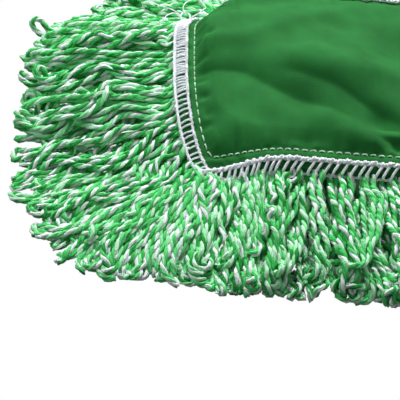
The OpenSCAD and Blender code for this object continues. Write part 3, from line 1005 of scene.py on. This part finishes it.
def build_thread_end():
    """The overlock's end, left as a small ring of thread and four loose tails at one corner."""
    turn = np.linspace(0, 2 * math.pi, 40)
    ring = np.column_stack([
        -313.5 + 2.5 * np.cos(turn),
        45.5 + 2.9 * np.sin(turn),
        12.6 + 1.2 * np.sin(turn) + 0.4 * np.cos(2 * turn),
    ]) * MM
    tails = [
        [(-314, 47, 14), (-315, 51, 15), (-313, 56, 15), (-309, 60, 14), (-304, 62, 12)],
        [(-316, 44, 14), (-320, 46, 16), (-325, 47, 17), (-330, 49, 17), (-335, 54, 16)],
        [(-316, 43, 14), (-320, 44, 16), (-324, 40, 17), (-326, 36, 17), (-328, 33, 16)],
        [(-311, 43, 14), (-307, 46, 15), (-303, 48, 18), (-305, 42, 21), (-307, 37, 22)],
    ]
    lines = [finer(np.array([t]) * MM, 30) for t in tails]
    strands("thread_end_tails", np.concatenate(lines), 0.36 * MM, 6, THREAD)
    strands("thread_end_ring", ring[None], 0.42 * MM, 8, THREAD)


build_thread_end()


# -------------------- frame, clamps, swivel and socket
def metal(name, color, roughness, brushed=1.0):
    """Brushed metal whose roughness wanders with wear."""
    mat, tree, shader = material(name, color, roughness, Metallic=1.0)
    place = node(tree, "TexCoord")
    wear = node(tree, "TexNoise", Scale=90.0, Detail=6.0, Roughness=0.7)
    stretch = node(tree, "Mapping", Scale=(300.0, 2600.0, 2600.0))
    grain = node(tree, "TexNoise", Scale=1.0, Detail=2.0)
    join(tree, place, "Object", wear, "Vector")
    join(tree, place, "Object", stretch, "Vector")
    join(tree, stretch, "Vector", grain, "Vector")
    vary_roughness(tree, shader, wear, roughness * 0.75, roughness * 1.5)
    add_bump(tree, shader, grain, "Fac", 0.12 * brushed, 0.0001)
    return mat


def moulded(name, color, roughness):
    """Moulded plastic with a fine grain and faint marks."""
    mat, tree, shader = material(name, color, roughness)
    place = node(tree, "TexCoord")
    grain = node(tree, "TexNoise", Scale=1500.0, Detail=3.0, Roughness=0.6)
    marks = node(tree, "TexNoise", Scale=70.0, Detail=5.0, Roughness=0.65)
    join(tree, place, "Object", grain, "Vector")
    join(tree, place, "Object", marks, "Vector")
    vary_roughness(tree, shader, marks, roughness * 0.8, roughness * 1.35)
    vary_color(tree, shader, marks, "Fac", color, 0.85, 1.25)
    add_bump(tree, shader, grain, "Fac", 0.22, 0.00015)
    return mat


def dress(mat, *names):
    """Gives CAD nodes their finish; their shapes stay as they are."""
    for name in names:
        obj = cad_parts[name]
        if not obj.material_slots:
            obj.data.materials.append(mat)
        for spot in obj.material_slots:
            spot.material = mat


ZINC = metal("zinc_plate", (0.60, 0.61, 0.60), 0.30)
BRIGHT = metal("bright_steel", (0.72, 0.72, 0.71), 0.20, brushed=0.5)
NYLON = moulded("nylon_dark", (0.030, 0.031, 0.033), 0.42)
LEVER = moulded("nylon_lever", (0.030, 0.135, 0.055), 0.38)
dress(ZINC, "frame_wire_left", "frame_wire_right", "lower_clamp", "upper_clamp", "swivel_yoke")
dress(BRIGHT, "clamp_screws", "clamp_nuts", "king_bolt", "king_nut", "tilt_bolt", "tilt_nut")
dress(BRIGHT, "tilt_washers", "lever_pin")
dress(NYLON, "handle_socket", "thrust_washer")
dress(LEVER, "release_lever")


def build_spring():
    """The lever's return spring as a real coil, pressed between the socket and the lever."""
    low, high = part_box("lever_spring")
    middle = (low + high) / 2
    wire = 0.28 * MM
    radius = 2.62 * MM
    turns = 3.5
    t = np.linspace(0, 1, 120)
    angle = 2 * math.pi * turns * t
    line = np.column_stack([
        middle.x + radius * np.cos(angle),
        low.y + wire + (high.y - low.y - 2 * wire) * t,
        middle.z + radius * np.sin(angle),
    ])
    coil = strands("lever_spring_coil", line[None], wire, 8, BRIGHT, "socket")
    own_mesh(coil)
    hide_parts("lever_spring")


build_spring()


# -------------------- stage
def build_camera(target, azimuth, elevation, distance, roll):
    """A long lens that looks at the target: angles in degrees, azimuth 0 along +Y."""
    a, e = math.radians(azimuth), math.radians(elevation)
    view = Vector((math.sin(a) * math.cos(e), math.cos(a) * math.cos(e), -math.sin(e)))
    right = Vector((math.cos(a), -math.sin(a), 0))
    turn = Matrix((right, right.cross(view), -view)).transposed().to_4x4()
    rolled = turn @ Matrix.Rotation(math.radians(roll), 4, "Z")
    data = bpy.data.cameras.new("camera")
    data.lens = 181
    data.sensor_width = 36
    data.clip_start = 0.01
    camera = in_scene("camera", data)
    camera.matrix_world = Matrix.Translation(target - view * distance) @ rolled
    bpy.context.scene.camera = camera


def area_light(name, size, energy, place, target):
    data = bpy.data.lights.new(name, "AREA")
    data.shape = "RECTANGLE"
    data.size, data.size_y = size
    data.energy = energy
    obj = in_scene(name, data)
    obj.location = place
    way = Vector(target) - Vector(place)
    obj.rotation_euler = way.to_track_quat("-Z", "Y").to_euler()


def backdrop(name, points, faces):
    """Plain white for the camera alone: it neither lights nor shades the mop."""
    mesh = bpy.data.meshes.new(name)
    mesh.from_pydata(points, [], faces)
    obj = in_scene(name, mesh)
    mat = bpy.data.materials.new(name)
    mat.use_nodes = True
    tree = mat.node_tree
    tree.nodes.remove(tree.nodes["Principled BSDF"])
    glow = node(tree, "Emission", Color=(1, 1, 1, 1), Strength=1.0)
    join(tree, glow, 0, tree.nodes["Material Output"], "Surface")
    mesh.materials.append(mat)
    obj.visible_diffuse = obj.visible_glossy = obj.visible_transmission = False
    obj.visible_shadow = False


def build_world():
    """White light from all round, weaker from below."""
    world = bpy.data.worlds.new("studio")
    bpy.context.scene.world = world
    world.use_nodes = True
    tree = world.node_tree
    sky = tree.nodes["Background"]
    sky.inputs["Color"].default_value = (1, 1, 1, 1)
    place = node(tree, "TexCoord")
    split = node(tree, "SeparateXYZ")
    level = node(tree, "MapRange", **{
        "From Min": -0.1, "From Max": 0.1, "To Min": 0.10, "To Max": 0.25,
    })
    join(tree, place, "Generated", split, 0)
    join(tree, split, "Z", level, "Value")
    join(tree, level, "Result", sky, "Strength")


def build_stage():
    far = 30.0
    square = [(-far, -far), (far, -far), (far, far), (-far, far)]
    backdrop("floor", [(x, y, 0) for x, y in square], [(0, 1, 2, 3)])
    sides = [(i, (i + 1) % 4, (i + 1) % 4 + 4, i + 4) for i in range(4)]
    backdrop("walls", [(x, y, z) for z in (0, far) for x, y in square], sides + [(4, 5, 6, 7)])
    build_world()
    build_camera(Vector((-0.306, -0.0985, 0.012)), 6.1, 43.3, 1.0, 8.5)
    area_light("key", (0.6, 0.6), 44, (-0.02, 1.25, 1.08), (-0.25, 0, 0))
    area_light("fill", (0.9, 0.6), 10, (-1.38, 0.35, 0.85), (-0.3, 0, 0))
    bpy.context.scene.view_settings.view_transform = "Standard"


build_stage()
